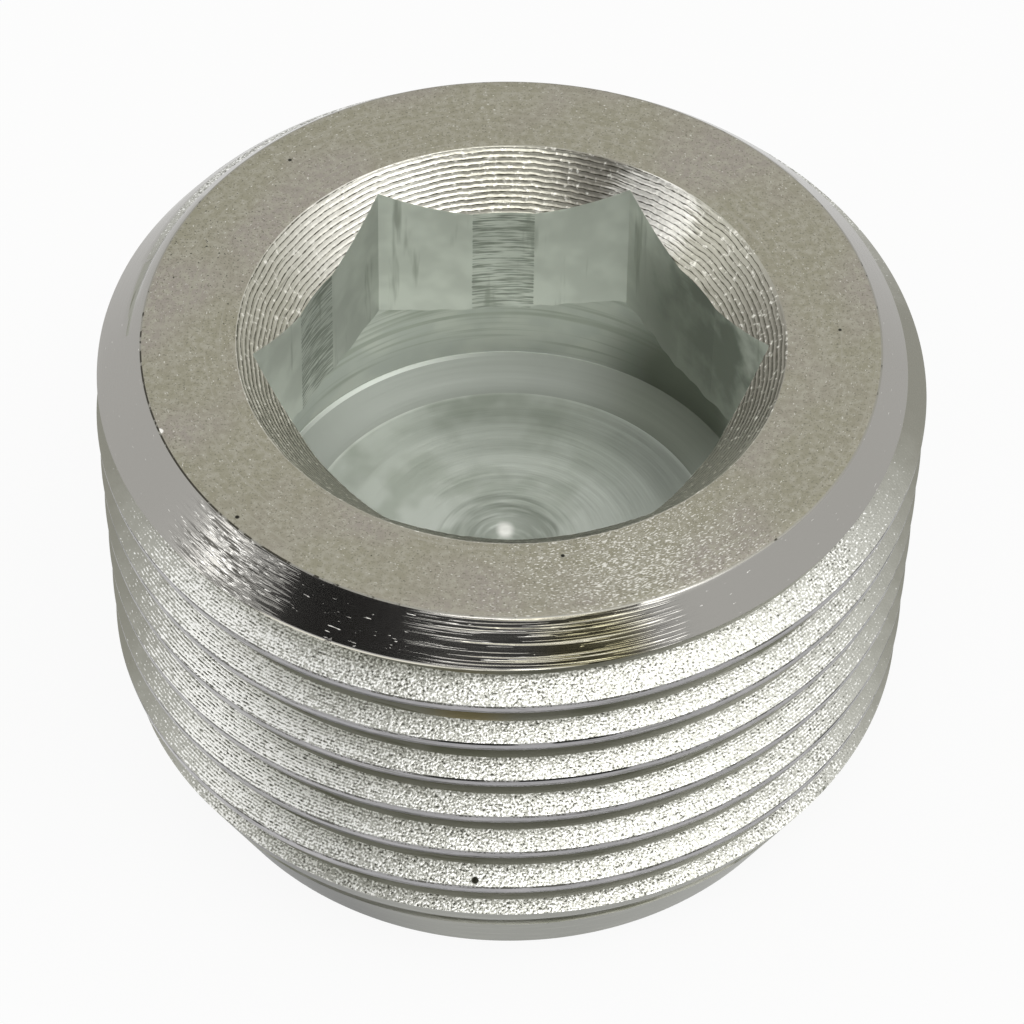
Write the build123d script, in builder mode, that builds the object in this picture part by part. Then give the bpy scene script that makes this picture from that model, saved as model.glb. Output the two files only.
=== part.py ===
from build123d import *
import os
from math import atan, ceil, cos, degrees, pi, radians, tan

# Hex socket taper plug, turned, threaded and broached from one piece of steel bar.
# It stands on its small end: Z is the axis, z = 0 is the small flat end, and the wide
# face with the socket is at the top. Lengths are in millimetres, angles in degrees.

# Turned blank
plug_height = 17.0
face_diameter = 23.3
foot_diameter = 21.3
rim_chamfer_angle = 45.0  # from the axis, out to the thread crests
lead_in_angle = 27.0  # from the axis

# Taper thread, right hand, 14 turns to 25.4 mm, 1 in 16 on diameter
thread_diameter = 26.44  # over the crests, in the plane of the top face
thread_pitch = 25.4 / 14
thread_taper = 1 / 16
thread_depth = 1.16
thread_crest = 0.30  # flat left on top of the ridge
flank_angle = 27.5  # from the plane square to the axis
thread_start_depth = 3.04  # middle of the groove under the face, where it crosses the X axis
thread_overrun = 0.5  # turns that the cutter runs past each end, at least
cutter_clearance = 0.3  # how far the cutter stands out of the crests

# Hex socket
socket_flats = 14.1
socket_depth = 6.0  # where the flats end
socket_turn = 2.5  # of a corner from the X axis
pilot_diameter = 14.25  # bored first, so it just marks the middle of each flat
countersink_diameter = 17.3
countersink_angle = 45.0  # from the axis, down to the pilot bore

# Relief turned under the flats, and the floor
relief_clearance = 0.02  # over the corners of the hexagon, on radius
relief_depth = 9.1
floor_diameter = 13.5
floor_depth = 9.7
dimple_diameter = 2.6
dimple_depth = 0.4

# Worked out from the sizes above
face_z = plug_height
crest_slope = thread_taper / 2
cone_angle = atan(crest_slope)


def crest_radius(z):
    """Radius over the thread crests at a height: a cone that narrows towards the foot."""
    return thread_diameter / 2 - (face_z - z) * crest_slope


rim_width = crest_radius(face_z) - face_diameter / 2
rim_z = face_z - rim_width / (tan(radians(rim_chamfer_angle)) + crest_slope)
lead_z = (crest_radius(0) - foot_diameter / 2) / (tan(radians(lead_in_angle)) - crest_slope)

groove_width = thread_pitch - thread_crest
root_width = groove_width - 2 * thread_depth * tan(radians(flank_angle))
turns_down = ceil((face_z - thread_start_depth) / thread_pitch + thread_overrun)
turns_up = ceil(thread_start_depth / thread_pitch + thread_overrun)

corner_radius = socket_flats / 2 / cos(pi / 6)
relief_radius = corner_radius + relief_clearance
pilot_radius = pilot_diameter / 2
countersink_width = countersink_diameter / 2 - pilot_radius
countersink_z = face_z - countersink_width / tan(radians(countersink_angle))
floor_z = face_z - floor_depth

# Thread cutter: a trapezoid carried round a helix on the taper, one solid for each turn,
# with its first and last turns out past the foot and the face
groove_turns = []
for turn in range(-turns_down, turns_up):
    turn_start = face_z - thread_start_depth + turn * thread_pitch
    turn_end = turn_start + thread_pitch
    with BuildPart() as groove_turn:
        with BuildLine():
            Helix(
                pitch=thread_pitch / cos(cone_angle),  # measured along the slope of the cone
                height=thread_pitch,
                radius=crest_radius(turn_start),
                center=(0, 0, turn_start),
                cone_angle=degrees(cone_angle),
            )
        for section_z in (turn_start, turn_end):
            on_crest = (crest_radius(section_z), 0, section_z)
            with BuildSketch(Plane(origin=on_crest, x_dir=(1, 0, 0), z_dir=(0, -1, 0))):
                with BuildLine():
                    Polyline(
                        (cutter_clearance, -groove_width / 2),
                        (cutter_clearance, groove_width / 2),
                        (0, groove_width / 2),
                        (-thread_depth, root_width / 2),
                        (-thread_depth, -root_width / 2),
                        (0, -groove_width / 2),
                        close=True,
                    )
                make_face()
        sweep(multisection=True, binormal=Edge.make_line((0, 0, turn_start), (0, 0, turn_end)))
    groove_turns.append(groove_turn.part)

with BuildPart() as plug_body:
    # Blank: foot, lead-in chamfer, taper, rim chamfer, face
    with BuildSketch(Plane.XZ):
        with BuildLine():
            Polyline(
                (0, 0),
                (foot_diameter / 2, 0),
                (crest_radius(lead_z), lead_z),
                (crest_radius(rim_z), rim_z),
                (face_diameter / 2, face_z),
                (0, face_z),
                close=True,
            )
        make_face()
    revolve(axis=Axis.Z)

    # Thread groove
    add(groove_turns, mode=Mode.SUBTRACT)

    # Socket: countersink, pilot bore, relief and floor, all turned
    with BuildSketch(Plane.XZ):
        with BuildLine():
            Polyline(
                (countersink_diameter / 2, face_z),
                (pilot_radius, countersink_z),
                (pilot_radius, face_z - socket_depth),
                (relief_radius, face_z - socket_depth),
                (relief_radius, face_z - relief_depth),
                (floor_diameter / 2, floor_z),
                (dimple_diameter / 2, floor_z),
                (0, floor_z - dimple_depth),
                (0, face_z),
                close=True,
            )
        make_face()
    revolve(axis=Axis.Z, mode=Mode.SUBTRACT)

    # Hexagon broached through the pilot bore as far as the relief
    with BuildSketch(Plane.XY.offset(face_z)):
        RegularPolygon(
            radius=socket_flats / 2, side_count=6, major_radius=False, rotation=socket_turn
        )
    extrude(amount=-socket_depth, mode=Mode.SUBTRACT)

plug_body.part.label = "plug_body"
os.makedirs("parts", exist_ok=True)
export_step(plug_body.part, "parts/plug_body.step")
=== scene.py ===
"""Hex socket taper plug of zinc-plated steel, standing on its small end on a pale floor.

The plug is one closed surface: rows of points run from the middle of the foot, up the
threaded side, over the rim and the face, and down the socket to the middle of its floor.
The plug and its patterns are in millimetres, and METRES takes them into Blender. Z is the
axis, the front is towards -Y and the left towards -X.
"""

import bmesh
import bpy
import numpy as np
from mathutils import Matrix, Vector


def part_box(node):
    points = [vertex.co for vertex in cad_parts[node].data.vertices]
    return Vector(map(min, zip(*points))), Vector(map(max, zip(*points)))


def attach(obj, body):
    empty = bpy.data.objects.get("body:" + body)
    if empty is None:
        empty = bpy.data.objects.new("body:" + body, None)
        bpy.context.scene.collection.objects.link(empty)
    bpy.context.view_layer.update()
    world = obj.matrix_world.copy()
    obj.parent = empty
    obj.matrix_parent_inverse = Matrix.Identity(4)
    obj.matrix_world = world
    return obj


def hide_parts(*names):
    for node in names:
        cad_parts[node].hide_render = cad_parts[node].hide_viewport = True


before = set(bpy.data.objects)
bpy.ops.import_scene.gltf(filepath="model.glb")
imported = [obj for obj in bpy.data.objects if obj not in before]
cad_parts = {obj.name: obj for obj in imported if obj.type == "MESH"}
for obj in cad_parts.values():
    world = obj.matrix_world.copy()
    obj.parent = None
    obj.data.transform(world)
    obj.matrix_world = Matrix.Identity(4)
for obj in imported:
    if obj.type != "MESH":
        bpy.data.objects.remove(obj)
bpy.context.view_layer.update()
METRES = 0.001
TURN = 2 * np.pi

# ---------------------------------------------------------------- sizes of the plug

FACE_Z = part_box("plug_body")[1].z / METRES
FACE_RADIUS = 11.65
FACE_RINGS = 8  # strips of faces across the face
FOOT_RADIUS = 10.65
FOOT_RINGS = (0.0, 3.5, 7.0, 9.5)  # radii of the foot's rows
RIM_SLOPE = 1.0  # out over down, 45 degrees
LEAD_IN_ANGLE = np.radians(27.0)
EDGE_BREAK = 0.028  # the rounding left on the rim and the foot

THREAD_PITCH = 25.4 / 14
CREST_SLOPE = 1 / 32
CREST_RADIUS_AT_FACE = 13.22
CREST_WIDTH = 0.36
BURR_WIDTH = 0.085  # of the crest, along its upper edge
RIM_DEPTH = (CREST_RADIUS_AT_FACE - FACE_RADIUS) / (RIM_SLOPE + CREST_SLOPE)
CREST_RADIUS_AT_FOOT = CREST_RADIUS_AT_FACE - FACE_Z * CREST_SLOPE
LEAD_IN_Z = (CREST_RADIUS_AT_FOOT - FOOT_RADIUS) / (np.tan(LEAD_IN_ANGLE) - CREST_SLOPE)
GROOVE_DEPTH = 1.16
GROOVE_HALF_WIDTH = (THREAD_PITCH - CREST_WIDTH) / 2
GROOVE_START_DEPTH = 3.04  # middle of the groove under the face, where it crosses the X axis
FLANK_ANGLE = np.radians(27.5)
ROOT_ROUND = 0.20  # radius of the groove's bottom
LEAST_CUT = 0.01  # a shallower groove leaves the blank's finish

# Rows in one turn of the thread, by their distance along the axis from the groove's middle
FLANK_ROWS = 4
CREST_INSET = 0.012  # the torn flank's outer row lies this far inside the groove
ROOT_LINES = (-0.18, -0.10, 0.0, 0.10, 0.18)
UNDER_FLANK_LINE = 0.45
EDGE_INSIDE = 0.02  # two rows, this far inside and outside the groove, keep its edge crisp
EDGE_OUTSIDE = 0.01

# The tool rubs the lower part of the flank smooth, up to this far from the groove's middle
SMOOTH_ROOT = 0.35
SMOOTH_ROOT_SWING = 0.05  # more at the widest place and less opposite it
SMOOTH_ROOT_WIDEST = np.radians(-45)
SMOOTH_ROOT_LOSS = 0.13  # and less again where the groove runs out under the face
RUN_OUT_DEPTH = 3.0  # under the face, where that begins
RUN_OUT_LENGTH = 1.2  # over which it grows, upwards

# The flank is torn round this angle and opposite it, and smooth in between
TORN_MIDDLE = np.radians(-87)
TORN_WHOLLY = np.radians(50)
TORN_UNTIL = np.radians(90)
TORN_ROW_SPACING = 0.084  # on radius

# The thread tool rolls over the bevel's lower edge
LIP_WIDTH = 0.05
LIP_FALL = 0.03

SOCKET_SIDES = 6
SOCKET_APOTHEM = 7.05
SOCKET_TURN = np.radians(2.5)
PILOT_RADIUS = 7.125
FLATS_DEPTH = 5.85
COUNTERSINK_RADIUS = 8.65
COUNTERSINK_SLOPE = np.sqrt(0.5)  # across and down for each millimetre along it
MOUTH_LIP = 0.03  # the countersink's edge is rubbed this much wider
TOOL_FEED = 0.185  # along the countersink for each turn of the tool
TOOL_START = 0.02  # along the countersink, where its rows begin
TOOL_STEP = 0.25  # turns of the tool between rows
RIDGE_HEIGHT = 0.018  # between two turns of the tool
RIDGE_TOP = 0.25  # turns of the tool from a ridge to where its torn top ends
RIDGE_SHARE = 0.9  # of the ridge height on average, and how much it swings
RIDGE_SWING = 0.45
RIDGE_SEED = 30  # of the first turn's ridge, and one more for each turn
RIDGE_WAVES = (2, 30)

RELIEF_RADIUS = 8.16
RELIEF_DEPTH = 9.1
RELIEF_Z = FACE_Z - RELIEF_DEPTH
FLOOR_RADIUS = 6.75
FLOOR_DEPTH = 9.7
FLOOR_Z = FACE_Z - FLOOR_DEPTH
SWIRL_HEIGHT = 0.012
SWIRL_WIDTH = 1.35  # on radius, from one crest to the next
DIMPLE_RADIUS = 1.3
DIMPLE_DEPTH = 0.4

# Rows down the socket, as shares of each wall but as radii on the floor. Those near an end
# keep the edge there crisp
FLATS_ROWS = (0.0, 0.03, 0.2, 0.4, 0.6, 0.8, 0.97, 1.0)
RELIEF_ROWS = (-0.02, 0.33, 0.67, 1.0)
SLOPE_ROWS = (0.04, 0.35, 0.7, 0.97)
FLOOR_INSET = 0.1  # from the floor's edge to its first row
DIMPLE_MARGIN = 0.04  # from its last row to the dimple
FLOOR_ROWS = np.linspace(FLOOR_RADIUS - FLOOR_INSET, DIMPLE_RADIUS + DIMPLE_MARGIN, 16)
DIMPLE_ROWS = (0.97, 0.6, 0.3, 0.0)

# Unevenness round the plug: size, seed, fewest waves in a turn, and the number it stops at
MOUTH_WANDER = [(0.015, 5, 2, 12)]
TOOL_WANDER = [(0.25, 8, 1, 6), (0.12, 9, 10, 40)]  # turns of the tool
TOOL_CHATTER = [(0.06, 13, 60, 150)]  # turns of the tool
CHATTER_MOST = np.radians(50)  # it is strongest here and gone on the other side
FLATS_END_WANDER = [(0.22, 11, 2, 9), (0.06, 12, 15, 60)]

COLUMNS = 60 * SOCKET_SIDES  # so that each corner of the socket has its own column
MERGED_WITHIN = 0.0002  # rows that meet at the ends of the thread become one
LEAST_EDGE = 0.0001
SHARP_FROM = np.radians(50)

# Finishes, in the order of FINISHES
FACE, COUNTERSINK, SOCKET, RELIEF, SOCKET_FLOOR, RIM, RIM_EDGE = range(7)
CREST, CREST_EDGE, FLANK, UNDER_FLANK, ROOT, LEAD_IN = range(7, 13)
# Strips of faces above the rows of each turn
THREAD_STRIPS = [FLANK] * 3 + [ROOT] * 5 + [UNDER_FLANK] * 2 + [CREST] * 2 + [CREST_EDGE]

TOOL_MARK = "tool_mark"  # attribute: ridge tops, bored flats and torn flanks, from 0 to 1

# ----------------------------------------------------------------- shape of the plug


def crest_radius(z):
    """Radius over the thread crests: a cone, 1 in 32 on radius, narrower lower down."""
    return CREST_RADIUS_AT_FACE - (FACE_Z - z) * CREST_SLOPE


def blank_radius(z):
    """Radius of the turned blank: straight runs through foot, lead-in, rim and face."""
    rim_z = FACE_Z - RIM_DEPTH
    heights = [0, LEAD_IN_Z, rim_z, FACE_Z]
    radii = [FOOT_RADIUS, crest_radius(LEAD_IN_Z), crest_radius(rim_z), FACE_RADIUS]
    return np.interp(z, heights, radii)


def groove_middle(angle):
    """Height of the groove's middle at an angle: it climbs one pitch for each turn."""
    return FACE_Z - GROOVE_START_DEPTH + THREAD_PITCH * angle / TURN


def groove_offset(angle, z):
    """Distance along the axis from the nearest groove middle, at most half a pitch."""
    above = z - groove_middle(angle)
    return above - THREAD_PITCH * np.round(above / THREAD_PITCH)


def thread_radius(angle, z):
    """Crest cone less the groove: straight flanks at the flank angle, and a round root that
    touches both flanks and the groove's full depth."""
    offset = groove_offset(angle, z)
    fall = np.maximum(GROOVE_HALF_WIDTH - np.abs(offset), 0) / np.tan(FLANK_ANGLE)
    across = np.minimum(np.abs(offset), ROOT_ROUND)
    round_fall = GROOVE_DEPTH - ROOT_ROUND + np.sqrt(ROOT_ROUND**2 - across**2)
    in_root = np.abs(offset) < ROOT_ROUND * np.cos(FLANK_ANGLE)
    return crest_radius(z - offset) - np.where(in_root, np.minimum(fall, round_fall), fall)


def bevel_foot(angle):
    """Height of the bevel's lower edge: where its 45 degree line, FACE_RADIUS out at the face,
    meets the upper flank of the first groove."""
    middle = groove_middle(angle) + THREAD_PITCH
    steep = np.tan(FLANK_ANGLE)
    inward = FACE_RADIUS + FACE_Z - crest_radius(middle)
    return (middle + GROOVE_HALF_WIDTH + steep * inward) / (1 + steep)


def ragged(angle, seed, lowest, highest):
    """Sum of sine waves round the plug with seeded phases, about plus or minus one."""
    dice = np.random.default_rng(seed)
    waves = np.arange(lowest, highest)
    phases = dice.uniform(0, TURN, waves.size)
    sizes = dice.uniform(0.5, 1.0, waves.size) / np.sqrt(waves.size)
    return np.sum(sizes[:, None] * np.sin(np.outer(waves, angle) + phases[:, None]), axis=0)


def wander(angle, layers):
    """Layers of ragged waves added up, each at its own size."""
    return sum(size * ragged(angle, *waves) for size, *waves in layers)


def snapped(z, gap, allowed):
    """Puts the nearer row of each column onto the place where gap crosses zero between rows."""
    low, high = gap[:-1], gap[1:]
    crosses = (low * high < 0) & allowed[:-1] & allowed[1:]
    share = np.where(crosses, low / np.where(crosses, low - high, 1), 0)
    meeting = z[:-1] + share * (z[1:] - z[:-1])
    moved = z.copy()
    moved[:-1] = np.where(crosses & (share < 0.5), meeting, moved[:-1])
    moved[1:] = np.where(crosses & (share >= 0.5), meeting, moved[1:])
    return moved


def thread_lines(angle, middle):
    """Rows of each turn, from the groove's middle: in along the torn flank to where it is
    smooth, through the root, out along the upper flank and up the crest to its burr."""
    edge = GROOVE_HALF_WIDTH
    smooth = SMOOTH_ROOT + SMOOTH_ROOT_SWING * np.cos(angle - SMOOTH_ROOT_WIDEST)
    run_out = np.clip((middle - FACE_Z + RUN_OUT_DEPTH) / RUN_OUT_LENGTH, 0, 1)
    smooth = smooth - SMOOTH_ROOT_LOSS * run_out
    inward = np.linspace(0, 1, FLANK_ROWS)[None, :, None]
    torn_flank = (edge - CREST_INSET) * (1 - inward) + smooth * inward
    fixed = [*ROOT_LINES, UNDER_FLANK_LINE]
    fixed += [edge - EDGE_INSIDE, edge + EDGE_OUTSIDE, THREAD_PITCH - edge - BURR_WIDTH]
    fixed = np.array(fixed)[None, :, None] * np.ones_like(middle)
    return np.concatenate([-torn_flank, fixed], axis=1)


def side_rows(angle):
    """Threaded side as rows of radius and height. Each row follows the helix at a fixed
    place in the thread's profile, and rows past an end lie on that end's edge. The radius
    is the lesser of blank and thread, with rows moved onto the line where the two meet."""
    turns_down = int(np.ceil((FACE_Z - GROOVE_START_DEPTH) / THREAD_PITCH)) + 1
    turns_up = int(np.ceil(GROOVE_START_DEPTH / THREAD_PITCH)) + 1
    turns = np.arange(-turns_down, turns_up)[:, None, None] * THREAD_PITCH
    middle = groove_middle(angle)[None, None, :] + turns
    lines = thread_lines(angle, middle)
    per_turn = lines.shape[1]
    z = (middle + lines).reshape(-1, angle.size)
    z = np.clip(z, EDGE_BREAK, FACE_Z - EDGE_BREAK)
    around = np.broadcast_to(angle, z.shape)
    inside = (z > EDGE_BREAK) & (z < FACE_Z - EDGE_BREAK)
    for level in (FACE_Z - RIM_DEPTH, LEAD_IN_Z):
        on_blank = inside & (blank_radius(z) <= thread_radius(around, z) + LEAST_CUT)
        z = snapped(z, z - level, on_blank)
    z = snapped(z, thread_radius(around, z) - blank_radius(z), inside)
    radius = np.minimum(thread_radius(around, z), blank_radius(z))
    return radius, z, per_turn


def side_finish(angle, z, strip):
    """Finish of faces on the threaded side: that of their strip of the thread's profile, or
    the rim's or the lead-in's where the groove leaves the blank."""
    blank = thread_radius(angle, z) >= blank_radius(z) - LEAST_CUT
    finish = np.array(THREAD_STRIPS)[strip]
    finish = np.where(blank & (z > FACE_Z - RIM_DEPTH), RIM, finish)
    return np.where(blank & (z < LEAD_IN_Z), LEAD_IN, finish)


def torn_share(angle):
    """1 up to one angle from the torn middle or the place opposite it, falling evenly to 0
    at a second angle."""
    from_middle = np.abs(np.angle(np.exp(2j * (angle - TORN_MIDDLE)))) / 2
    return np.clip((TORN_UNTIL - from_middle) / (TORN_UNTIL - TORN_WHOLLY), 0, 1)


def socket_radius(angle):
    """Wall of the socket: the hexagon, or the pilot bore where it reaches further out."""
    sector = TURN / SOCKET_SIDES
    from_corner = (angle - SOCKET_TURN) % sector
    hexagon = SOCKET_APOTHEM / np.cos(from_corner - sector / 2)
    return np.maximum(hexagon, PILOT_RADIUS)


def countersink_rows(angle, wall_length):
    """Slope of the countersink down to the wall, as rows of radius, height and tool mark.
    Each turn of the tool leaves a hollow whose depth is a parabola, with ridges between."""
    full_length = (COUNTERSINK_RADIUS - PILOT_RADIUS) / COUNTERSINK_SLOPE
    wandering = wander(angle, TOOL_WANDER)
    chattering = (1 + np.cos(angle - CHATTER_MOST)) / 2
    wandering = wandering + chattering * wander(angle, TOOL_CHATTER)
    for turns in np.arange(0, full_length / TOOL_FEED + 1, TOOL_STEP):
        reached = np.clip((turns - wandering) * TOOL_FEED, TOOL_START, wall_length)
        uneven = ragged(angle, RIDGE_SEED + int(turns), *RIDGE_WAVES)
        height = RIDGE_HEIGHT * (RIDGE_SHARE + RIDGE_SWING * uneven)
        turned_by = reached / TOOL_FEED + wandering
        to_ridge = np.abs(turned_by - np.round(turned_by))
        scallop = height * ((1 - 2 * to_ridge) ** 2 - 0.5)
        radius = COUNTERSINK_RADIUS - (reached + scallop) * COUNTERSINK_SLOPE
        z = FACE_Z - (reached - scallop) * COUNTERSINK_SLOPE
        yield radius, z, np.clip(1 - to_ridge / RIDGE_TOP, 0, 1)


def plug_rows(angle):
    """All rows of the plug, from the middle of the foot to the middle of the socket's floor,
    as arrays of radius, height, finish and tool mark, and the rows that follow the helix.
    The strip of faces below a row has the row's finish."""
    ones = np.ones_like(angle)
    rows = []

    def ring(radius, z, finish, mark=0.0):
        rows.append((radius * ones, z * ones, finish, mark * ones))

    for radius in (*FOOT_RINGS, FOOT_RADIUS - EDGE_BREAK):
        ring(radius, 0.0, FACE)
    first = len(rows)
    side_radius, side_z, per_turn = side_rows(angle)
    for radius, z in zip(side_radius, side_z):
        ring(radius, z, FLANK, torn_share(angle))
    last = len(rows)

    ring(FACE_RADIUS - EDGE_BREAK, FACE_Z, RIM_EDGE)
    for share in np.arange(1, FACE_RINGS) / FACE_RINGS:
        ring(FACE_RADIUS + share * (COUNTERSINK_RADIUS - FACE_RADIUS), FACE_Z, FACE)
    ring(COUNTERSINK_RADIUS + MOUTH_LIP + wander(angle, MOUTH_WANDER), FACE_Z, FACE)

    wall = socket_radius(angle)
    wall_length = (COUNTERSINK_RADIUS - wall) / COUNTERSINK_SLOPE
    for radius, z, ridge in countersink_rows(angle, wall_length):
        ring(radius, z, COUNTERSINK, ridge)

    top = FACE_Z - wall_length * COUNTERSINK_SLOPE
    bottom = FACE_Z - FLATS_DEPTH + wander(angle, FLATS_END_WANDER)
    for share in FLATS_ROWS:
        ring(wall, top + share * (bottom - top), SOCKET, wall <= PILOT_RADIUS)
    for share in RELIEF_ROWS:
        ring(RELIEF_RADIUS, bottom + share * (RELIEF_Z - bottom), RELIEF)
    for share in SLOPE_ROWS:
        radius = RELIEF_RADIUS + share * (FLOOR_RADIUS - RELIEF_RADIUS)
        ring(radius, RELIEF_Z + share * (FLOOR_Z - RELIEF_Z), RELIEF)
    for radius in FLOOR_ROWS:
        swirl = SWIRL_HEIGHT * np.cos(TURN * radius / SWIRL_WIDTH)
        ring(radius, FLOOR_Z + swirl, SOCKET_FLOOR)
    for share in DIMPLE_ROWS:
        ring(DIMPLE_RADIUS * share, FLOOR_Z - (1 - share) * DIMPLE_DEPTH, SOCKET_FLOOR)

    radius, z, finish, mark = (np.array(column) for column in zip(*rows))
    return radius, z, finish, mark, (first, last, per_turn)


def plug_mesh():
    """The closed mesh of the plug. A point is its row's radius turned to its column's angle.
    The last column meets the first one turn further up the helix."""
    angle = SOCKET_TURN + np.arange(COLUMNS) * TURN / COLUMNS
    radius, z, finish, mark, (first, last, per_turn) = plug_rows(angle)
    count = radius.shape[0]
    points = np.stack([radius * np.cos(angle), radius * np.sin(angle), z], axis=-1)
    points = points.reshape(-1, 3)

    row = np.arange(count)
    wrapped = row.copy()
    wrapped[first:last] = np.minimum(row[first:last] + per_turn, last - 1)
    index = row[:, None] * COLUMNS + np.arange(COLUMNS)[None, :]
    after = np.concatenate([index[:, 1:], (wrapped * COLUMNS)[:, None]], axis=1)
    corners = np.stack([index[:-1], after[:-1], after[1:], index[1:]], axis=-1).reshape(-1, 4)

    face_finish = np.repeat(finish[1:], COLUMNS)
    side = slice((first - 1) * COLUMNS, (last - 1) * COLUMNS)
    middle = points[corners[side]].mean(axis=1)
    around = np.arctan2(middle[:, 1], middle[:, 0])
    strip = np.repeat(np.arange(-1, last - first - 1) % per_turn, COLUMNS)
    face_finish[side] = side_finish(around, middle[:, 2], strip)

    mesh = bpy.data.meshes.new("plug")
    mesh.from_pydata(points * METRES, [], corners)
    mesh.polygons.foreach_set("material_index", face_finish.astype(np.int32))
    marks = mesh.attributes.new(TOOL_MARK, "FLOAT", "POINT")
    marks.data.foreach_set("value", mark.ravel().astype(np.float32))
    merged = bmesh.new()
    merged.from_mesh(mesh)
    bmesh.ops.remove_doubles(merged, verts=merged.verts, dist=MERGED_WITHIN * METRES)
    bmesh.ops.dissolve_degenerate(merged, edges=merged.edges, dist=LEAST_EDGE * METRES)
    merged.to_mesh(mesh)
    merged.free()
    mesh.shade_smooth()
    mesh.set_sharp_from_angle(angle=SHARP_FROM)
    return mesh


# ------------------------------------------------------------------------- materials
# All are bright zinc on steel, and each is named for how the steel under it was cut. The
# sizes of patterns are the real ones in millimetres. What is finer than 0.04 mm would not
# show: the zinc's crystals and the finest scratches, about 0.01 mm, are drawn 0.04 to
# 0.1 mm wide. A bump's height is what its surface rises by as the pattern goes from 0 to 1.

TURNING_RADIUS = 10.0  # where the grains of a turned pattern have the length they are given


def linear(hex_colour):
    """sRGB hex to linear RGBA."""
    channels = np.array([int(hex_colour[i : i + 2], 16) for i in (1, 3, 5)]) / 255
    bright = ((channels + 0.055) / 1.055) ** 2.4
    return (*np.where(channels <= 0.04045, channels / 12.92, bright), 1.0)


def add(tree, kind, settings=None, **inputs):
    """Adds a node. settings are its properties; inputs are values or sockets by input name,
    with _ for a space, or by number after an n."""
    node = tree.nodes.new(kind)
    for name, value in (settings or {}).items():
        setattr(node, name, value)
    for name, value in inputs.items():
        numbered = name[0] == "n" and name[1:].isdigit()
        key = int(name[1:]) if numbered else name.replace("_", " ")
        if isinstance(value, bpy.types.NodeSocket):
            tree.links.new(value, node.inputs[key])
        else:
            node.inputs[key].default_value = value
    return node


def zinc(name, roughness):
    """A new metal: its material, tree, shader and coordinates on the plug."""
    material = bpy.data.materials.new(name)
    material.use_nodes = True
    tree = material.node_tree
    tree.nodes.clear()
    shader = add(tree, "ShaderNodeBsdfPrincipled", Metallic=1.0, Roughness=roughness)
    add(tree, "ShaderNodeOutputMaterial", Surface=shader.outputs[0])
    place = add(tree, "ShaderNodeTexCoord").outputs["Object"]
    return material, tree, shader, place


def grains(size):
    """Scale of a noise texture whose grains are this size."""
    return 1 / (size * METRES)


def off_axis(tree, place):
    """The part of a place that is square to the axis, and its length, the radius there."""
    flat = add(tree, "ShaderNodeVectorMath", {"operation": "MULTIPLY"}, n0=place, n1=(1, 1, 0))
    radius = add(tree, "ShaderNodeVectorMath", {"operation": "LENGTH"}, n0=flat.outputs[0])
    return flat.outputs[0], radius.outputs["Value"]


def turned(tree, place, across, along, detail=2.0):
    """Noise drawn out along the turning lines, about 0 to 1, with no seam: 4D noise of the
    heading from the axis, the height and the radius. across and along are the size of its
    grains, square to the lines and along them at the turning radius."""
    flat, radius = off_axis(tree, place)
    heading = add(tree, "ShaderNodeVectorMath", {"operation": "NORMALIZE"}, n0=flat).outputs[0]
    wide = add(
        tree,
        "ShaderNodeVectorMath",
        {"operation": "SCALE"},
        n0=heading,
        Scale=TURNING_RADIUS / along,
    )
    parts = add(tree, "ShaderNodeSeparateXYZ", n0=place)
    grain = across * METRES
    height = add(tree, "ShaderNodeMath", {"operation": "DIVIDE"}, n0=parts.outputs[2], n1=grain)
    tall = add(tree, "ShaderNodeCombineXYZ", Z=height.outputs[0])
    spread = add(
        tree, "ShaderNodeVectorMath", {"operation": "ADD"}, n0=wide.outputs[0], n1=tall.outputs[0]
    )
    out = add(tree, "ShaderNodeMath", {"operation": "DIVIDE"}, n0=radius, n1=grain)
    pattern = add(
        tree,
        "ShaderNodeTexNoise",
        {"noise_dimensions": "4D"},
        Vector=spread.outputs[0],
        W=out.outputs[0],
        Scale=1.0,
        Detail=detail,
    )
    return pattern.outputs["Fac"]


def near(tree, place, middle, reach):
    """1 at a place on the plug, falling evenly to 0 at a distance from it."""
    middle = tuple(length * METRES for length in middle)
    away = add(tree, "ShaderNodeVectorMath", {"operation": "DISTANCE"}, n0=place, n1=middle)
    share = add(
        tree, "ShaderNodeMapRange", n0=away.outputs["Value"], n1=reach * METRES, n2=0.0
    )
    return share.outputs[0]


def weighed(tree, pattern, *shares):
    """Adds to a pattern shares of others: each is a pattern and what it is multiplied by."""
    for other, share in shares:
        total = add(
            tree, "ShaderNodeMath", {"operation": "MULTIPLY_ADD"}, n0=other, n1=share, n2=pattern
        )
        pattern = total.outputs[0]
    return pattern


def tint(tree, under, value, low, high, colour):
    """Takes a colour over to another as value goes from low to high."""
    share = add(
        tree,
        "ShaderNodeMapRange",
        {"interpolation_type": "SMOOTHSTEP"},
        n0=value,
        n1=low,
        n2=high,
    )
    mix = add(
        tree,
        "ShaderNodeMix",
        {"data_type": "RGBA"},
        n0=share.outputs[0],
        n6=under,
        n7=linear(colour),
    )
    return mix.outputs[2]


def finished(tree, shader, colour, *bumps):
    """Gives the shader its colour and its bumps: each is a pattern and its height."""
    tree.links.new(colour, shader.inputs["Base Color"])
    under = None
    for pattern, height in bumps:
        distance = height * METRES
        bump = add(tree, "ShaderNodeBump", Height=pattern, Distance=distance, Strength=1.0)
        if under:
            tree.links.new(under.outputs[0], bump.inputs["Normal"])
        tree.links.new(bump.outputs[0], shader.inputs["Normal"])
        under = bump


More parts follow.
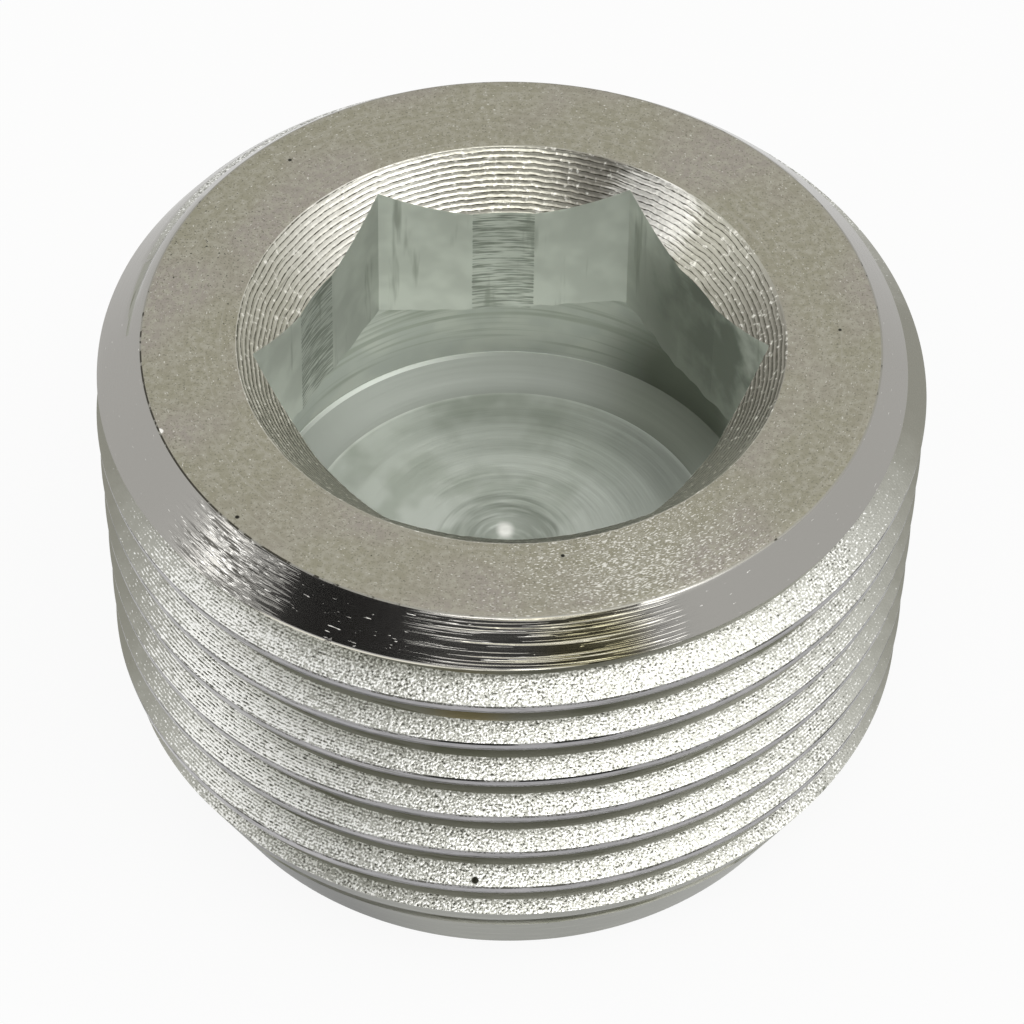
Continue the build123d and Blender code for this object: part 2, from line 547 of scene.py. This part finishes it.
# Knocks on the face: x, y, reach and colour
FACE_KNOCKS = [
    (-10.84, -4.20, 0.15, "#f6f4ee"),
    (-8.30, -7.74, 0.10, "#2c2b26"),
    (10.34, 0.60, 0.08, "#3a3932"),
    (-7.24, 7.84, 0.09, "#3a3932"),
    (1.66, -9.12, 0.09, "#2c2b26"),
]


def turned_face():
    """Faced with a fine feed: satin and slightly warm, with rings that only just show. Its
    turning dashes are painted as bright glints, more of them where the tool chattered."""
    material, tree, shader, place = zinc("zinc_plated_steel_faced", roughness=0.42)
    clouds = add(tree, "ShaderNodeTexNoise", Vector=place, Scale=grains(3.5)).outputs["Fac"]
    grain = add(tree, "ShaderNodeTexNoise", Vector=place, Scale=grains(0.07), Detail=1.0)
    fine = add(tree, "ShaderNodeTexNoise", Vector=place, Scale=grains(0.22), Detail=3.0)
    pits = add(tree, "ShaderNodeTexNoise", Vector=place, Scale=grains(0.10), Detail=1.0)
    dashes = turned(tree, place, across=0.045, along=0.10, detail=1.0)
    rings = turned(tree, place, across=0.10, along=6.0, detail=1.0)
    streaks = turned(tree, place, across=0.07, along=1.0)
    chatter = near(tree, place, (4.0, -9.8, 17.0), 6.2)
    pitted = near(tree, place, (-9.8, 3.5, 17.0), 4.2)
    # Painted glints: turning dashes tinted near white, more of them where the tool chattered
    bright = weighed(tree, dashes, (chatter, 0.18))
    dark = weighed(tree, pits.outputs["Fac"], (pitted, -0.10))
    colour = tint(tree, linear("#94917f"), clouds, 0.40, 0.65, "#99938a")
    colour = tint(tree, colour, fine.outputs["Fac"], 0.35, 0.75, "#a5a294")
    colour = tint(tree, colour, grain.outputs["Fac"], 0.45, 0.25, "#7d7a6c")
    colour = tint(tree, colour, rings, 0.55, 0.75, "#9f9c8e")
    colour = tint(tree, colour, bright, 0.66, 0.80, "#dddbd2")
    colour = tint(tree, colour, dark, 0.26, 0.18, "#45443c")
    for x, y, reach, shade in FACE_KNOCKS:
        knock = near(tree, place, (x, y, FACE_Z), reach)
        colour = tint(tree, colour, knock, 0.1, 0.5, shade)
    bumps = [(streaks, 0.005), (grain.outputs["Fac"], 0.004), (bright, 0.010)]
    finished(tree, shader, colour, *bumps)
    return material


def turned_rim():
    """Turned bevel, smoother than the face: it mirrors its surroundings. The tool tore it in
    one place and left long lines in another, and its lower edge is rolled to a thin lip.
    White glints are painted as specks, thick over the torn place and thinner round the
    front, and the lip is painted as a bright highlight."""
    material, tree, shader, place = zinc("zinc_plated_steel_turned", roughness=0.17)
    streaks = turned(tree, place, across=0.08, along=1.4)
    fine = turned(tree, place, across=0.045, along=0.25, detail=1.0)
    lines = turned(tree, place, across=0.055, along=0.9, detail=1.0)
    long_lines = turned(tree, place, across=0.05, along=3.0, detail=1.0)
    torn = near(tree, place, (-8.7, -8.8, 16.3), 2.9)
    lined = near(tree, place, (1.2, -12.1, 16.2), 4.6)
    speckled = near(tree, place, (-4.6, -11.5, 16.2), 3.8)
    stain = near(tree, place, (2.6, -12.2, 16.0), 2.6)
    # Painted glints: white specks, thick over the torn place and thinner round the front
    high = weighed(tree, fine, (torn, 0.30), (speckled, 0.055))
    proud = add(tree, "ShaderNodeMapRange", n0=high, n1=0.76, n2=0.92).outputs[0]
    cuts = add(tree, "ShaderNodeMapRange", n0=lines, n1=0.45, n2=0.65).outputs[0]
    torn_lines = add(tree, "ShaderNodeMath", {"operation": "MULTIPLY"}, n0=cuts, n1=torn)
    raised = add(tree, "ShaderNodeMapRange", n0=long_lines, n1=0.52, n2=0.70).outputs[0]
    ridges = add(tree, "ShaderNodeMath", {"operation": "MULTIPLY"}, n0=raised, n1=lined)

    # The lip, a bump painted as a bright highlight, follows the bevel's lower edge, which
    # climbs with the angle round the plug
    parts = add(tree, "ShaderNodeSeparateXYZ", n0=place).outputs
    around = add(tree, "ShaderNodeMath", {"operation": "ARCTAN2"}, n0=parts[1], n1=parts[0])
    climb = (bevel_foot(1.0) - bevel_foot(0.0)) * METRES
    level = weighed(tree, parts[2], (around.outputs[0], -climb))
    lip_end = bevel_foot(0.0) * METRES
    lip_start = lip_end + LIP_WIDTH * METRES
    rolled = add(tree, "ShaderNodeMapRange", n0=level, n1=lip_start, n2=lip_end).outputs[0]
    front = near(tree, place, (-3.0, -12.5, 15.8), 6.0)
    shown = add(tree, "ShaderNodeMapRange", n0=front, n1=0.0, n2=0.3).outputs[0]
    fallen = add(tree, "ShaderNodeMath", {"operation": "MULTIPLY"}, n0=rolled, n1=shown)
    lip_and_highlight = weighed(tree, 1.0, (fallen.outputs[0], -1.0))

    colour = tint(tree, linear("#9f9d98"), torn_lines.outputs[0], 0.1, 0.7, "#55534e")
    colour = tint(tree, colour, high, 0.72, 0.86, "#f6f4ee")
    colour = tint(tree, colour, stain, 0.1, 0.7, "#8d886c")
    colour = tint(tree, colour, ridges.outputs[0], 0.1, 0.5, "#bcb8a6")
    # Painted highlight: the lip tinted bright, along the front only
    colour = tint(tree, colour, lip_and_highlight, 0.8, 0.3, "#e6e3d4")
    bumps = [(streaks, 0.004), (proud, 0.014), (torn_lines.outputs[0], 0.040)]
    bumps += [(ridges.outputs[0], 0.030), (lip_and_highlight, LIP_FALL)]
    finished(tree, shader, colour, *bumps)
    return material


def rim_edge():
    """Sharp turned edge between face and bevel: rubbed, and darker in broken dashes
    towards the left front.
    """
    material, tree, shader, place = zinc("zinc_plated_steel_edge", roughness=0.45)
    dark_dashes = add(tree, "ShaderNodeTexNoise", Vector=place, Scale=grains(0.35), Detail=3.0)
    side = near(tree, place, (-10.0, -6.0, 17.0), 10.0)
    dark = weighed(tree, dark_dashes.outputs["Fac"], (side, 0.34))
    colour = tint(tree, linear("#95938a"), dark, 0.62, 0.72, "#45433b")
    finished(tree, shader, colour)
    return material


def turned_countersink():
    """Turned with a coarse feed: mirror-like hollows and torn ridges. Painted highlights: a broad
    one at the back left, white glints in streaks at the back right, and white specks. Painted
    shade: broken dark lines along the ridge tops, and a darker right side and right back."""
    material, tree, shader, place = zinc("zinc_plated_steel_countersunk", roughness=0.34)
    ridge = add(tree, "ShaderNodeAttribute", {"attribute_name": TOOL_MARK}).outputs["Fac"]
    cross = add(tree, "ShaderNodeTexNoise", Vector=place, Scale=grains(0.18)).outputs["Fac"]
    streaks = turned(tree, place, across=0.06, along=0.7)
    broken = weighed(tree, ridge, (cross, -1.1))
    # Painted highlight: a broad pool of light at the back left
    bright = near(tree, place, (-4.8, 6.0, 16.3), 5.5)
    # Painted shade: the right side and the right back tinted darker, where either reaches
    right = near(tree, place, (7.8, -0.5, 16.3), 6.0)
    right_back = near(tree, place, (3.0, 7.7, 16.5), 2.8)
    # Painted glints: white streaks at the back right
    glare = near(tree, place, (4.6, 6.6, 16.3), 2.7)
    glints = add(tree, "ShaderNodeMath", {"operation": "MULTIPLY"}, n0=glare, n1=streaks)
    dull = add(tree, "ShaderNodeMath", {"operation": "MAXIMUM"}, n0=right, n1=right_back)
    colour = tint(tree, linear("#b3b1a4"), streaks, 0.45, 0.28, "#8d8b7f")
    colour = tint(tree, colour, bright, 0.1, 0.9, "#dedcd2")
    colour = tint(tree, colour, dull.outputs[0], 0.1, 0.8, "#908d83")
    colour = tint(tree, colour, glints.outputs[0], 0.12, 0.34, "#f2f0e8")
    # Painted glints: white specks where the cross noise is high
    colour = tint(tree, colour, cross, 0.58, 0.72, "#e4e2d8")
    # Painted shade: broken dark lines along the ridge tops
    colour = tint(tree, colour, broken, -0.10, 0.40, "#4c4a40")
    finished(tree, shader, colour, (streaks, 0.006), (cross, 0.016))
    return material


def broached_socket():
    """Broached flats deep in the socket, a little green, with painted shade on the right-back
    flats, even and in patches. Upright lines from the broach, and fine rings where the pilot
    bore is the wall."""
    material, tree, shader, place = zinc("zinc_plated_steel_broached", roughness=0.45)
    bored = add(tree, "ShaderNodeAttribute", {"attribute_name": TOOL_MARK}).outputs["Fac"]
    cloud = add(tree, "ShaderNodeTexNoise", Vector=place, Scale=grains(1.4)).outputs["Fac"]
    grain = add(tree, "ShaderNodeTexNoise", Vector=place, Scale=grains(0.2)).outputs["Fac"]
    # The broach's lines are half a millimetre wide and some eight times as tall
    tall = add(
        tree, "ShaderNodeVectorMath", {"operation": "MULTIPLY"}, n0=place, n1=(1, 1, 0.12)
    )
    broach = add(
        tree, "ShaderNodeTexNoise", Vector=tall.outputs[0], Scale=grains(0.5), Detail=3.0
    )
    lines = turned(tree, place, across=0.06, along=1.2)
    rings = add(tree, "ShaderNodeMath", {"operation": "MULTIPLY"}, n0=lines, n1=bored)
    # Painted shade on the right-back flats, even here and in patches below
    right_back_shade = near(tree, place, (6.2, 4.0, 12.5), 5.0)
    darkening = add(tree, "ShaderNodeTexNoise", Vector=place, Scale=grains(1.1), Detail=4.0)
    shaded_flat = near(tree, place, (6.4, 2.8, 14.0), 6.0)
    patchy_shade = add(
        tree, "ShaderNodeMath", {"operation": "MULTIPLY"}, n0=darkening.outputs["Fac"], n1=shaded_flat
    )
    colour = tint(tree, linear("#ecefe9"), cloud, 0.35, 0.65, "#dcdfd9")
    colour = tint(tree, colour, broach.outputs["Fac"], 0.40, 0.25, "#bcc0b8")
    colour = tint(tree, colour, rings.outputs[0], 0.42, 0.62, "#a3a89f")
    colour = tint(tree, colour, right_back_shade, 0.0, 0.7, "#a0a49b")
    colour = tint(tree, colour, patchy_shade.outputs[0], 0.18, 0.45, "#878c83")
    finished(tree, shader, colour, (grain, 0.004), (rings.outputs[0], 0.010))
    return material


def bored_relief():
    """Bored out under the flats: dull and even, with a painted highlight on the edge above its
    duller slope at the back left, and painted shade at the right back.
    """
    material, tree, shader, place = zinc("zinc_plated_steel_relief", roughness=0.6)
    height = add(tree, "ShaderNodeSeparateXYZ", n0=place).outputs[2]
    cloud = add(tree, "ShaderNodeTexNoise", Vector=place, Scale=grains(1.6)).outputs["Fac"]
    rings = turned(tree, place, across=0.18, along=6.0, detail=1.0)
    edge_z = RELIEF_Z * METRES
    edge_half = 0.06 * METRES
    blend_half = 0.02 * METRES
    edge = add(
        tree, "ShaderNodeMath", {"operation": "COMPARE"}, n0=height, n1=edge_z, n2=edge_half
    )
    # Painted highlight: the edge lighter at the back left
    left_back = near(tree, place, (-4.5, 6.6, 7.9), 6.0)
    lit = weighed(tree, edge.outputs[0], (left_back, 0.3))
    # Painted shade at the right back, darker and a little green
    right_back_shade = near(tree, place, (5.8, 5.6, 8.5), 4.5)
    colour = tint(tree, linear("#f2f5ef"), cloud, 0.35, 0.65, "#e6eae5")
    colour = tint(tree, colour, rings, 0.50, 0.30, "#d6dbd2")
    colour = tint(tree, colour, height, edge_z + blend_half, edge_z - blend_half, "#aaaea7")
    colour = tint(tree, colour, lit, 1.05, 1.30, "#dde1da")
    colour = tint(tree, colour, right_back_shade, 0.0, 0.7, "#8b9085")
    finished(tree, shader, colour, (rings, 0.009))
    return material


def bored_floor():
    """Drilled floor: dull, with the drill's swirl and its rings round the dimple, a painted
    highlight in the dimple and painted shade at the right back.
    """
    material, tree, shader, place = zinc("zinc_plated_steel_bored", roughness=0.55)
    cloud = add(tree, "ShaderNodeTexNoise", Vector=place, Scale=grains(1.6)).outputs["Fac"]
    swirl = turned(tree, place, across=0.25, along=6.0)
    arcs = turned(tree, place, across=0.16, along=8.0, detail=1.0)
    round_dimple = near(tree, place, (0.0, 0.6, 7.3), 4.2)
    rings = add(tree, "ShaderNodeMath", {"operation": "MULTIPLY"}, n0=arcs, n1=round_dimple)
    middle = near(tree, place, (0.0, 0.0, 7.3), 3.0)
    # Painted highlight: a bright patch in the dimple, broken by the clouds
    bright_spot = near(tree, place, (-0.1, 0.8, 7.1), 0.7)
    # Painted shade at the right back
    right_back_shade = near(tree, place, (6.2, 4.0, 7.3), 6.0)
    spotted = weighed(tree, bright_spot, (cloud, 0.6))
    darkening = weighed(tree, middle, (swirl, 1.0))
    colour = tint(tree, linear("#cbcfc8"), cloud, 0.4, 0.65, "#b8bdb4")
    colour = tint(tree, colour, right_back_shade, 0.0, 0.9, "#c6cbc4")
    colour = tint(tree, colour, darkening, 0.7, 1.3, "#a4a9a0")
    colour = tint(tree, colour, rings.outputs[0], 0.22, 0.50, "#989d94")
    colour = tint(tree, colour, spotted, 0.70, 1.1, "#dcdcd6")
    finished(tree, shader, colour, (swirl, 0.014), (rings.outputs[0], 0.018))
    return material


def cut_flank():
    """Torn thread flank: coarse bright grain, in rows along the thread at the sides, and smooth
    and dull where the tool cut clean. Where torn, its glitter is painted as white specks,
    more on the left, with dark specks of painted shade between."""
    material, tree, shader, place = zinc("zinc_plated_steel_thread_flank", roughness=0.36)
    mark = add(tree, "ShaderNodeAttribute", {"attribute_name": TOOL_MARK}).outputs["Fac"]
    edge = add(tree, "ShaderNodeTexNoise", Vector=place, Scale=grains(0.6), Detail=3.0)
    torn = weighed(tree, mark, (edge.outputs["Fac"], 0.3))
    left = near(tree, place, (-10.0, -8.5, 10.0), 9.2)
    right = near(tree, place, (10.5, -8.0, 10.0), 9.0)
    half_right = add(tree, "ShaderNodeMath", {"operation": "MULTIPLY"}, n0=right, n1=0.5)
    sides = add(
        tree, "ShaderNodeMath", {"operation": "MAXIMUM"}, n0=left, n1=half_right.outputs[0]
    ).outputs[0]

    # Grain: even at the front, and drawn out in rows at the sides
    even = add(tree, "ShaderNodeTexNoise", Vector=place, Scale=grains(0.075), Detail=1.0)
    drawn = turned(tree, place, across=0.05, along=0.09, detail=1.0)
    grain = add(tree, "ShaderNodeMix", n0=sides, n2=even.outputs["Fac"], n3=drawn)
    radius = off_axis(tree, place)[1]
    row = TORN_ROW_SPACING * METRES / TURN
    outward = add(tree, "ShaderNodeMath", {"operation": "DIVIDE"}, n0=radius, n1=row)
    ripple = add(tree, "ShaderNodeMath", {"operation": "SINE"}, n0=outward.outputs[0])
    rows = add(
        tree, "ShaderNodeMath", {"operation": "MULTIPLY"}, n0=ripple.outputs[0], n1=sides
    )
    specks = weighed(tree, grain.outputs[0], (rows.outputs[0], 0.18))

    # Painted glints: white specks where torn, more on the left; painted shade: dark specks
    torn_left = add(tree, "ShaderNodeMath", {"operation": "MULTIPLY"}, n0=torn, n1=left)
    brighter = weighed(tree, torn, (torn_left.outputs[0], 0.42))
    high = weighed(tree, specks, (brighter, 0.35))
    low = weighed(tree, specks, (torn, -0.35))
    pit = near(tree, place, (-0.88, -12.65, 5.58), 0.16)
    colour = tint(tree, linear("#8b8a80"), torn, 0.35, 1.10, "#b3b3ab")
    colour = tint(tree, colour, high, 0.90, 1.04, "#fafaf6")
    colour = tint(tree, colour, low, 0.04, -0.12, "#4e4e47")
    colour = tint(tree, colour, pit, 0.1, 0.4, "#26261f")
    finished(tree, shader, colour, (high, 0.014))
    return material


def under_flank():
    """Clean-cut flank that faces down: smooth and even, and lit only off the floor."""
    material, tree, shader, place = zinc("zinc_plated_steel_under_flank", roughness=0.34)
    streaks = turned(tree, place, across=0.08, along=1.6)
    colour = tint(tree, linear("#c0c0b8"), streaks, 0.45, 0.3, "#9c9c92")
    finished(tree, shader, colour, (streaks, 0.006))
    return material


def smooth_root():
    """Groove bottom, rubbed smooth by the tool: painted darker and browner as the groove's shade,
    darkest at the front and in blotches, with a gold stain.
    """
    material, tree, shader, place = zinc("zinc_plated_steel_thread_root", roughness=0.40)
    streaks = turned(tree, place, across=0.10, along=2.0)
    shade = add(tree, "ShaderNodeTexNoise", Vector=place, Scale=grains(3.0)).outputs["Fac"]
    gold = near(tree, place, (-1.2, -12.4, 13.9), 2.2)
    front = near(tree, place, (1.0, -12.8, 10.0), 8.5)
    # Painted shade: the groove bottom darker, most at the front
    colour = tint(tree, linear("#9a9a90"), front, 0.0, 0.8, "#848479")
    colour = tint(tree, colour, streaks, 0.45, 0.3, "#777769")
    colour = tint(tree, colour, shade, 0.55, 0.75, "#77786a")
    colour = tint(tree, colour, gold, 0.1, 1.0, "#8e8156")
    finished(tree, shader, colour, (streaks, 0.006))
    return material


def turned_crest():
    """Turned crest of the thread, worn by handling: smooth and cool grey, finely lined, and
    painted lighter towards the left as a highlight.
    """
    material, tree, shader, place = zinc("zinc_plated_steel_thread_crest", roughness=0.30)
    streaks = turned(tree, place, across=0.06, along=2.0)
    lines = turned(tree, place, across=0.04, along=0.7, detail=1.0)
    worn = add(tree, "ShaderNodeTexNoise", Vector=place, Scale=grains(2.2)).outputs["Fac"]
    left = near(tree, place, (-11.5, -6.5, 10.0), 10.0)
    colour = tint(tree, linear("#a3a2a4"), worn, 0.45, 0.65, "#b0aeb0")
    # Painted highlight: lighter towards the left
    colour = tint(tree, colour, left, 0.0, 0.8, "#b6b5b5")
    colour = tint(tree, colour, streaks, 0.45, 0.30, "#7c7b78")
    colour = tint(tree, colour, lines, 0.62, 0.74, "#6b6a68")
    finished(tree, shader, colour, (streaks, 0.006))
    return material


def torn_edge():
    """Burr torn up along the crest's upper edge: ragged, with the shade in its notch painted
    dark in teeth and black in stretches.
    """
    material, tree, shader, place = zinc("zinc_plated_steel_thread_burr", roughness=0.4)
    stretches = add(tree, "ShaderNodeTexNoise", Vector=place, Scale=grains(3.0))
    lengths = add(tree, "ShaderNodeTexNoise", Vector=place, Scale=grains(1.2), Detail=1.0)
    teeth = add(tree, "ShaderNodeTexNoise", Vector=place, Scale=grains(0.07), Detail=1.0)
    rough = weighed(tree, teeth.outputs["Fac"], (lengths.outputs["Fac"], 0.9))
    burr = near(tree, place, (2.4, -12.8, 10.9), 2.4)
    small_burr = near(tree, place, (-0.8, -13.0, 12.7), 2.0)
    burrs = add(tree, "ShaderNodeMath", {"operation": "MAXIMUM"}, n0=burr, n1=small_burr)
    # Painted shade: black stretches, most near the burrs
    black = weighed(tree, stretches.outputs["Fac"], (burrs.outputs[0], 0.5))
    colour = tint(tree, linear("#a09f9e"), rough, 0.98, 0.86, "#595852")
    colour = tint(tree, colour, black, 0.64, 0.70, "#1e1e1a")
    finished(tree, shader, colour, (teeth.outputs["Fac"], 0.012))
    return material


def lead_in():
    """Turned lead-in above the foot: dull and smooth, and darker in the plug's own shade."""
    material, tree, shader, place = zinc("zinc_plated_steel_lead_in", roughness=0.35)
    streaks = turned(tree, place, across=0.10, along=1.5)
    left = near(tree, place, (-8.0, -8.0, 0.5), 7.5)
    colour = tint(tree, linear("#7d7e74"), streaks, 0.5, 0.7, "#8f9085")
    colour = tint(tree, colour, left, 0.0, 0.6, "#37382f")
    finished(tree, shader, colour, (streaks, 0.010))
    return material


# One for each finish, in the same order
FINISHES = [
    turned_face,
    turned_countersink,
    broached_socket,
    bored_relief,
    bored_floor,
    turned_rim,
    rim_edge,
    turned_crest,
    torn_edge,
    cut_flank,
    under_flank,
    smooth_root,
    lead_in,
]

mesh = plug_mesh()
for make_finish in FINISHES:
    mesh.materials.append(make_finish())
plug = bpy.data.objects.new("plug", mesh)
bpy.context.collection.objects.link(plug)
weighted = plug.modifiers.new("flat_faces_stay_flat", "WEIGHTED_NORMAL")
weighted.keep_sharp = True
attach(plug, "root")
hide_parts("plug_body")

# ---------------------------------------------------------------------------- studio
# Sizes and distances here are in metres, lamps in watts and angles in degrees.

LAMP_DISTANCE = 0.5
FLAG_DISTANCE = 0.45
FLOOR_SIDE = 3.0
FLOOR_GLOW = 0.92  # share of the background's white in what shows of the floor
AIR_LIGHT = 0.55
WHITE = linear("#ffffff")


def toward(azimuth, elevation):
    """Direction away from the plug. Azimuth 0 is in front and 90 to the right."""
    turn, lift = np.radians(azimuth), np.radians(elevation)
    return Vector((np.sin(turn) * np.cos(lift), -np.cos(turn) * np.cos(lift), np.sin(lift)))


def area_lamp(name, azimuth, elevation, size, power):
    """A soft lamp aimed at the middle of the plug's face. size is its width and height."""
    lamp = bpy.data.lights.new(name, "AREA")
    lamp.shape = "RECTANGLE"
    lamp.size, lamp.size_y = size
    lamp.energy = power
    holder = bpy.data.objects.new(name, lamp)
    way = toward(azimuth, elevation)
    holder.location = Vector((0, 0, FACE_Z * METRES)) + way * LAMP_DISTANCE
    holder.rotation_euler = way.to_track_quat("Z", "Y").to_euler()
    bpy.context.collection.objects.link(holder)


def rectangle(wide, high):
    """Corners of a level rectangle round the origin."""
    x, y = wide / 2, high / 2
    return [(-x, -y, 0), (x, -y, 0), (x, y, 0), (-x, y, 0)]


def flat_sheet(name, corners, material):
    """A flat sheet of four corners."""
    sheet_mesh = bpy.data.meshes.new(name)
    sheet_mesh.from_pydata(corners, [], [(0, 1, 2, 3)])
    sheet_mesh.materials.append(material)
    sheet = bpy.data.objects.new(name, sheet_mesh)
    bpy.context.collection.objects.link(sheet)
    return sheet


def flag(name, azimuth, elevation, size):
    """A black card that faces the plug and that only reflections see: bright metal needs
    something dark to mirror."""
    way = toward(azimuth, elevation)
    spin = way.to_track_quat("Z", "Y").to_matrix()
    middle = Vector((0, 0, FACE_Z * METRES)) + way * FLAG_DISTANCE
    corners = [middle + spin @ Vector(corner) for corner in rectangle(*size)]
    material = bpy.data.materials.new(name)
    material.use_nodes = True
    shader = material.node_tree.nodes["Principled BSDF"]
    shader.inputs["Base Color"].default_value = linear("#101010")
    shader.inputs["Roughness"].default_value = 0.9
    card = flat_sheet(name, corners, material)
    card.visible_camera = False
    card.visible_shadow = False
    card.visible_diffuse = False


def background_ray(tree):
    """1 for the rays that show the background: camera, glossy and transmission."""
    rays = add(tree, "ShaderNodeLightPath").outputs
    shown = rays["Is Camera Ray"]
    for name in ("Is Glossy Ray", "Is Transmission Ray"):
        either = add(tree, "ShaderNodeMath", {"operation": "MAXIMUM"}, n0=shown, n1=rays[name])
        shown = either.outputs[0]
    return shown


def pale_floor():
    """Plain white paper. It shows brighter than it lights, so its shadow is a soft grey."""
    material = bpy.data.materials.new("white_paper")
    material.use_nodes = True
    tree = material.node_tree
    tree.nodes.clear()
    paper = add(tree, "ShaderNodeBsdfDiffuse", Color=linear("#e8e8e6")).outputs[0]
    glow = add(tree, "ShaderNodeEmission", Color=WHITE, Strength=1.0).outputs[0]
    shown = background_ray(tree)
    share = add(tree, "ShaderNodeMath", {"operation": "MULTIPLY"}, n0=shown, n1=FLOOR_GLOW)
    mixed = add(tree, "ShaderNodeMixShader", n0=share.outputs[0], n1=paper, n2=glow)
    add(tree, "ShaderNodeOutputMaterial", Surface=mixed.outputs[0])
    floor = flat_sheet("studio_floor", rectangle(FLOOR_SIDE, FLOOR_SIDE), material)


def studio_air():
    """Even pale surroundings: white where they show, and softer as light."""
    world = bpy.data.worlds.new("studio")
    world.use_nodes = True
    tree = world.node_tree
    tree.nodes.clear()
    soft = add(tree, "ShaderNodeBackground", Color=WHITE, Strength=AIR_LIGHT).outputs[0]
    white = add(tree, "ShaderNodeBackground", Color=WHITE, Strength=1.0).outputs[0]
    mixed = add(tree, "ShaderNodeMixShader", n0=background_ray(tree), n1=soft, n2=white)
    add(tree, "ShaderNodeOutputWorld", Surface=mixed.outputs[0])
    bpy.context.scene.world = world


pale_floor()
studio_air()
area_lamp("softbox_right", azimuth=80, elevation=60, size=(0.26, 0.26), power=0.25)
area_lamp("softbox_high", azimuth=18, elevation=61, size=(0.50, 0.14), power=0.82)
area_lamp("strip_left", azimuth=-78, elevation=30, size=(0.12, 0.20), power=0.15)
flag("flag_front", azimuth=-12, elevation=38, size=(0.93, 0.175))
flag("flag_left", azimuth=-57, elevation=39, size=(0.26, 0.20))
flag("flag_upper_left", azimuth=-42, elevation=54, size=(0.20, 0.09))

# ---------------------------------------------------------------------------- camera

CAMERA_ELEVATION = np.radians(46.150)
CAMERA_DISTANCE = 191.79  # millimetres from the middle of the face
CAMERA_PITCH = np.radians(-1.628)
CAMERA_YAW = np.radians(-0.030)
CAMERA_ROLL = np.radians(-0.878)
CAMERA_LENS = 214.48  # millimetres, on a sensor of this width
SENSOR_WIDTH = 36.0
CLIP_START = 0.01  # metres

back = Vector((0, -np.cos(CAMERA_ELEVATION), np.sin(CAMERA_ELEVATION)))
right = Vector((1, 0, 0))
up = back.cross(right)
up.normalize()
axes = Matrix((right, up, back)).transposed()
axes = Matrix.Rotation(CAMERA_YAW, 3, up) @ axes
axes = Matrix.Rotation(CAMERA_PITCH, 3, axes.col[0]) @ axes
axes = Matrix.Rotation(CAMERA_ROLL, 3, -axes.col[2]) @ axes
stand = axes.to_4x4()
stand.translation = (Vector((0, 0, FACE_Z)) + back * CAMERA_DISTANCE) * METRES

camera_data = bpy.data.cameras.new("camera")
camera_data.lens = CAMERA_LENS
camera_data.sensor_width = SENSOR_WIDTH
camera_data.clip_start = CLIP_START
camera = bpy.data.objects.new("camera", camera_data)
camera.matrix_world = stand
bpy.context.collection.objects.link(camera)
bpy.context.scene.camera = camera
bpy.context.scene.view_settings.view_transform = "Standard"
